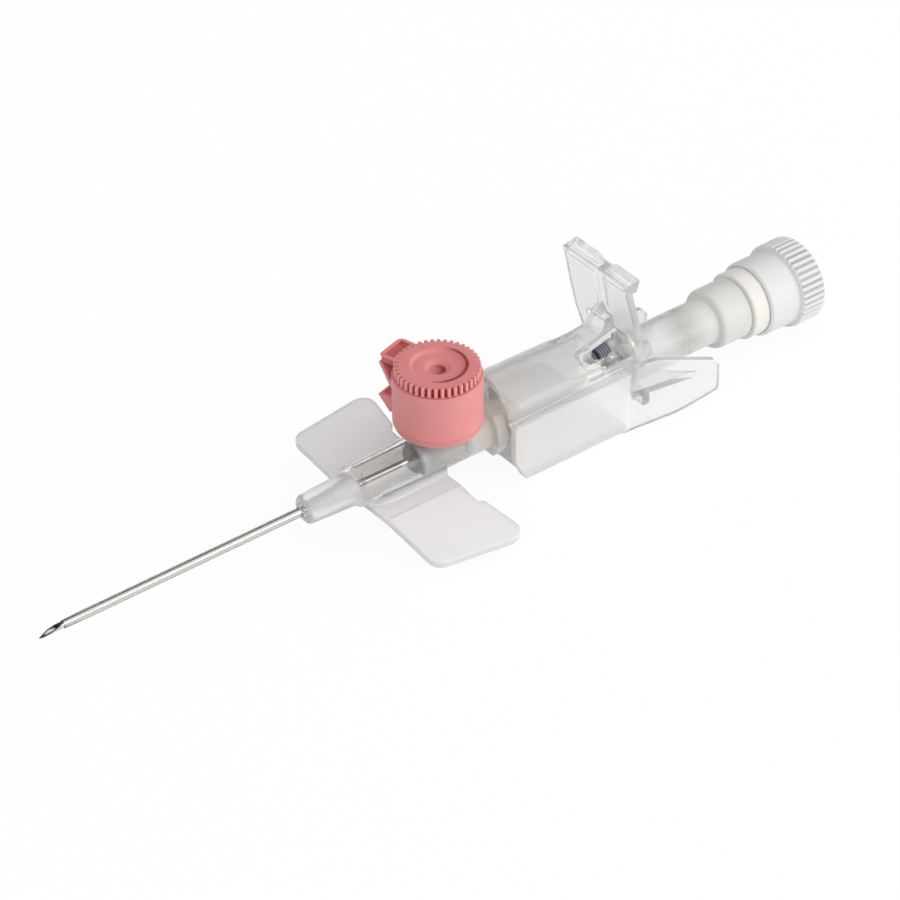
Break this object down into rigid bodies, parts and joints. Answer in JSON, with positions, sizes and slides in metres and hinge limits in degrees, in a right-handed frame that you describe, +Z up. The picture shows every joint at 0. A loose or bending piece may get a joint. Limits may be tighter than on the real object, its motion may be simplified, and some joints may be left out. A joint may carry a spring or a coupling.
{
  "type": "iv cannula",
  "caption": "Ported, winged over-the-needle vein cannula with a hinged pink port cap, a clear needle grip with thumb flange, a flash chamber and a knurled white rear plug.",
  "frame": {"origin": "on the needle axis at the front face of the catheter hub's nose", "axes": "+X along the needle towards the rear plug, +Z up along the injection port, +Y towards the wing that the port cap's hinge is on"},
  "size_m": [0.1076, 0.0295, 0.0213],
  "materials": {
    "catheter_polymer": "translucent extruded polymer",
    "wedge_steel": "drawn stainless steel",
    "clear_hub_plastic": "clear moulded plastic",
    "valve_silicone": "grey translucent silicone",
    "pink_plastic": "satin moulded plastic",
    "needle_steel": "polished stainless steel tube",
    "shield_plastic": "white translucent moulded plastic",
    "clip_steel": "spring steel strip",
    "clear_grip_plastic": "clear moulded plastic, lightly frosted",
    "dark_coil": "dark blue-grey wire",
    "ivory_plastic": "ivory translucent moulded plastic",
    "filter_plastic": "sintered white plastic",
    "white_plastic": "white moulded plastic"
  },
  "bodies": {
    "catheter": {"catheter_tube": "catheter_polymer", "catheter_wedge": "wedge_steel", "catheter_hub": "clear_hub_plastic", "port_valve": "valve_silicone", "cap_collar": "pink_plastic"},
    "lid": {"cap_lid": "pink_plastic"},
    "shield": {"shield_body": "shield_plastic", "shield_clip": "clip_steel"},
    "needle_unit": {"needle": "needle_steel", "needle_grip": "clear_grip_plastic", "needle_hub": "clear_hub_plastic", "hub_coil": "dark_coil", "filter_housing": "ivory_plastic", "vent_filter": "filter_plastic"},
    "plug": {"lock_plug": "white_plastic"}
  },
  "joints": [
    {"name": "cap_hinge", "type": "hinge", "parent": "catheter", "child": "lid", "pos_m": [0.01707, 0.00634, 0.01065], "axis": [-0.9613, -0.2756, 0], "range_deg": [0, 150]},
    {"name": "shield_release", "type": "slide", "parent": "catheter", "child": "shield", "axis": [1, 0, 0], "range_m": [0, 0.015]},
    {"name": "needle_withdraw", "type": "slide", "parent": "shield", "child": "needle_unit", "axis": [1, 0, 0], "range_m": [0, 0.062]},
    {"name": "plug_pull", "type": "slide", "parent": "needle_unit", "child": "plug", "axis": [1, 0, 0], "range_m": [0, 0.012]}
  ]
}
